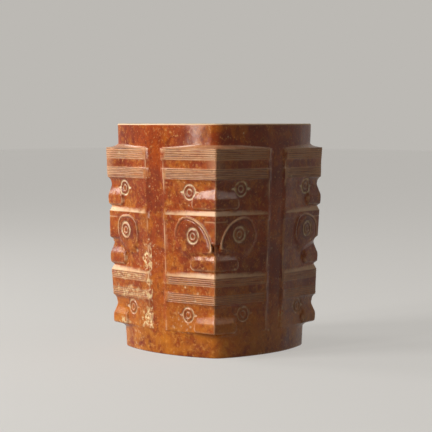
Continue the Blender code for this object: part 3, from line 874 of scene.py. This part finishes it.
# Colours in the stone's skin, laid one over another on clouds of brown: how strong, the size of the patches
# in millimetres and their detail, how much they are drawn out upright, the part of the noise where they start
# and are full, and the mark that they keep to
Tint = namedtuple("Tint", "code strength size detail drawn low high mark")
CLOUD_SIZE = 24
CLOUDS = ((0.34, "#722404"), (0.46, "#8d3406"), (0.56, "#9d4008"), (0.68, "#a8510c"))
SKIN_TINTS = (
    Tint("#b5630f", 0.60, 9.0, 3.0, 1.0, 0.50, 0.66, None),
    Tint("#641d04", 0.60, 2.6, 5.0, 1.3, 0.50, 0.68, None),
    Tint("#c57a2e", 0.52, 3.2, 4.0, 1.2, 0.46, 0.70, "rubbed_face"),
    Tint("#641d05", 0.50, 1.0, 3.0, 1.2, 0.50, 0.68, None),
    Tint("#d99a58", 0.50, 1.1, 4.0, 1.1, 0.56, 0.70, None),
    Tint("#c6751a", 0.62, 7.0, 4.0, 1.0, 0.34, 0.58, "foot_stain"),
    Tint("#d8923c", 0.36, 2.2, 4.0, 1.0, 0.52, 0.66, "foot_stain"),
    Tint("#c08c60", 0.74, 9.0, 4.0, 0.12, 0.24, 0.54, "barred_band"),
    # Pale on worn edges, and painted highlights on the rim's edge, the blocks' top edges, the ledges, the
    # bands near the corner, the strip's edges, the nose ends and the eyelids' raised edges
    Tint("#e0b084", 0.90, 2.2, 3.0, 1.0, 0.10, 0.40, "wear_and_highlight"),
    Tint("#471a09", 0.88, 7.0, 3.0, 0.2, 0.22, 0.52, "dark_line"),
    Tint("#e4c692", 0.94, 1.3, 5.0, 1.2, 0.44, 0.58, "crust"),
    # Calcified fill in the eyes and pits; on the ledges' lips and the rim's edge it is partly a painted
    # highlight
    Tint("#ead2a6", 0.95, 1.6, 3.0, 1.0, 0.10, 0.40, "pale_fill_and_highlight"),
)

# Polish: nephrite's IOR, the warm gloss of old wax, the range of roughness with the size of its patches, how
# much duller some marks are, and a fine grain
NEPHRITE_IOR = 1.62
GLOSS = 0.27
WAX = "#fff2e4"
SMOOTHEST = 0.17
ROUGHEST = 0.29
RUBBING_SIZE = 7
DULL_MARKS = (("barred_band", 0.2), ("wear_and_highlight", 0.12), ("pale_fill_and_highlight", 0.3), ("crust", 0.3))
GRAIN_SIZE = 1.3
GRAIN_DEPTH = 0.2
GRAIN_STRENGTH = 0.12


def stained_colour(tree, place):
    """The stone's mottled colour: clouds of brown with the tints over them."""
    clouds = node(tree, "ShaderNodeTexNoise", [("Vector", place)], [
        ("Scale", 1 / (CLOUD_SIZE * MM)), ("Detail", 5.0), ("Roughness", 0.6), ("Distortion", 0.5),
    ])
    ramp = node(tree, "ShaderNodeValToRGB", [("Fac", clouds.outputs["Fac"])])
    stops = ramp.color_ramp.elements
    stops.remove(stops[1])
    stops[0].position, stops[0].color = CLOUDS[0][0], colour(CLOUDS[0][1])
    for position, code in CLOUDS[1:]:
        stops.new(position).color = colour(code)
    stone = ramp.outputs["Color"]
    for tint in SKIN_TINTS:
        drawn = node(tree, "ShaderNodeMapping", [("Vector", place)], [("Scale", (1.0, 1.0, 1 / tint.drawn))])
        patches = node(tree, "ShaderNodeTexNoise", [("Vector", drawn.outputs["Vector"])], [
            ("Scale", 1 / (tint.size * MM)), ("Detail", tint.detail), ("Roughness", 0.6), ("Distortion", 0.4),
        ])
        amount = node(tree, "ShaderNodeMapRange", [("Value", patches.outputs["Fac"])], [
            ("From Min", tint.low), ("From Max", tint.high), ("To Min", 0.0), ("To Max", tint.strength),
        ], interpolation_type="SMOOTHSTEP").outputs["Result"]
        if tint.mark:
            mark = node(tree, "ShaderNodeAttribute", attribute_name=tint.mark).outputs["Fac"]
            kept = node(tree, "ShaderNodeMath", [(0, amount), (1, mark)], operation="MULTIPLY")
            amount = kept.outputs["Value"]
        tinted = node(
            tree, "ShaderNodeMix", [(0, amount), (6, stone)], [(7, colour(tint.code))], data_type="RGBA",
        )
        stone = tinted.outputs[2]
    return stone


def polished_roughness(tree, place):
    """Hand polish: patches a little smoother or rougher, and duller on bands, wear and painted highlights,
    pale fill and crust.
    """
    rubbing = node(tree, "ShaderNodeTexNoise", [("Vector", place)], [
        ("Scale", 1 / (RUBBING_SIZE * MM)), ("Detail", 4.0),
    ])
    polish = node(tree, "ShaderNodeMapRange", [("Value", rubbing.outputs["Fac"])], [
        ("From Min", 0.3), ("From Max", 0.7), ("To Min", SMOOTHEST), ("To Max", ROUGHEST),
    ])
    roughness = polish.outputs["Result"]
    for name, dullness in DULL_MARKS:
        mark = node(tree, "ShaderNodeAttribute", attribute_name=name).outputs["Fac"]
        dulled = node(
            tree, "ShaderNodeMath", [(0, mark), (2, roughness)], [(1, dullness)], operation="MULTIPLY_ADD",
        )
        roughness = dulled.outputs["Value"]
    return roughness


def jade_material():
    """Nephrite with a brown, iron-stained skin, polished by hand: a waxy gloss over a mottled, grainy colour,
    with paler rubbed edges, painted highlights on edges and ledges, pale calcified fill in the drilled eyes
    and darker fine lines."""
    material = bpy.data.materials.new("polished_brown_nephrite")
    material.use_nodes = True
    tree = material.node_tree
    shader = tree.nodes["Principled BSDF"]
    place = node(tree, "ShaderNodeTexCoord").outputs["Object"]
    tree.links.new(stained_colour(tree, place), shader.inputs["Base Color"])
    tree.links.new(polished_roughness(tree, place), shader.inputs["Roughness"])
    grain = node(tree, "ShaderNodeTexNoise", [("Vector", place)], [
        ("Scale", 1 / (GRAIN_SIZE * MM)), ("Detail", 3.0),
    ])
    bump = node(tree, "ShaderNodeBump", [("Height", grain.outputs["Fac"])], [
        ("Strength", GRAIN_STRENGTH), ("Distance", GRAIN_DEPTH * MM),
    ])
    tree.links.new(bump.outputs["Normal"], shader.inputs["Normal"])
    shader.inputs["IOR"].default_value = NEPHRITE_IOR
    shader.inputs["Specular IOR Level"].default_value = GLOSS
    shader.inputs["Specular Tint"].default_value = colour(WAX)
    return material


def seen_directly(tree):
    """1 for the camera's rays and for reflections of the background, 0 for light that falls on the stone."""
    rays = node(tree, "ShaderNodeLightPath")
    seen = rays.outputs["Is Camera Ray"]
    for kind in ("Is Glossy Ray", "Is Transmission Ray"):
        either = node(tree, "ShaderNodeMath", [(0, seen), (1, rays.outputs[kind])], operation="MAXIMUM")
        seen = either.outputs["Value"]
    return seen


def paper_material():
    """Matt pale studio paper: hardly any gloss, a soft shadow, and about as pale to see as the backdrop."""
    material = bpy.data.materials.new("matt_pale_paper")
    material.use_nodes = True
    tree = material.node_tree
    shader = tree.nodes["Principled BSDF"]
    shader.inputs["Base Color"].default_value = colour(PAPER)
    shader.inputs["Roughness"].default_value = 0.9
    shader.inputs["Specular IOR Level"].default_value = 0.1
    shader.inputs["Emission Color"].default_value = colour(BACKDROP)
    lift = node(tree, "ShaderNodeMath", [(0, seen_directly(tree))], [(1, PAPER_LIFT)], operation="MULTIPLY")
    tree.links.new(lift.outputs["Value"], shader.inputs["Emission Strength"])
    return material


def make_floor():
    bpy.ops.object.select_all(action="DESELECT")
    bpy.ops.mesh.primitive_plane_add(size=FLOOR_METRES)
    floor = bpy.context.object
    floor.name = "studio_floor"
    floor.data.materials.append(paper_material())


def light_room():
    """A little even light from all round, with the pale backdrop for the camera and for reflections."""
    world = bpy.data.worlds.new("soft_room")
    bpy.context.scene.world = world
    world.use_nodes = True
    tree = world.node_tree
    room = tree.nodes["Background"]
    room.inputs["Color"].default_value = colour("#ffffff")
    room.inputs["Strength"].default_value = ROOM_LIGHT
    backdrop = node(tree, "ShaderNodeBackground", (), [("Color", colour(BACKDROP)), ("Strength", 1.0)])
    mix = node(tree, "ShaderNodeMixShader", [
        (0, seen_directly(tree)), (1, room.outputs["Background"]), (2, backdrop.outputs["Background"]),
    ])
    tree.links.new(mix.outputs["Shader"], tree.nodes["World Output"].inputs["Surface"])


def hang_softboxes():
    """Softboxes that all point at the middle of the stone."""
    middle = Vector((0, 0, HEIGHT * MM / 2))
    for box in SOFTBOXES:
        bpy.ops.object.light_add(type="AREA", location=box.place)
        lamp = bpy.context.object
        lamp.name = box.name
        lamp.data.shape = "RECTANGLE"
        lamp.data.size, lamp.data.size_y = box.size
        lamp.data.energy = box.watts
        lamp.rotation_euler = (middle - Vector(box.place)).to_track_quat("-Z", "Y").to_euler()


def place_camera():
    azimuth = math.radians(CAMERA_AZIMUTH)
    pan = math.radians(CAMERA_PAN)
    place = (CAMERA_DISTANCE * math.sin(azimuth), -CAMERA_DISTANCE * math.cos(azimuth), CAMERA_HEIGHT)
    bpy.ops.object.camera_add(location=place)
    camera = bpy.context.object
    camera.rotation_euler = (math.radians(90 - CAMERA_PITCH), 0.0, azimuth + pan)
    camera.data.lens = LENS
    camera.data.sensor_width = SENSOR_WIDTH
    camera.data.clip_start = CAMERA_NEAREST
    bpy.context.scene.camera = camera


stone = make_stone()
stone.data.materials.append(jade_material())
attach(stone, "root")
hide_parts("cong_body")
make_floor()
light_room()
hang_softboxes()
place_camera()
bpy.context.scene.view_settings.view_transform = "Standard"
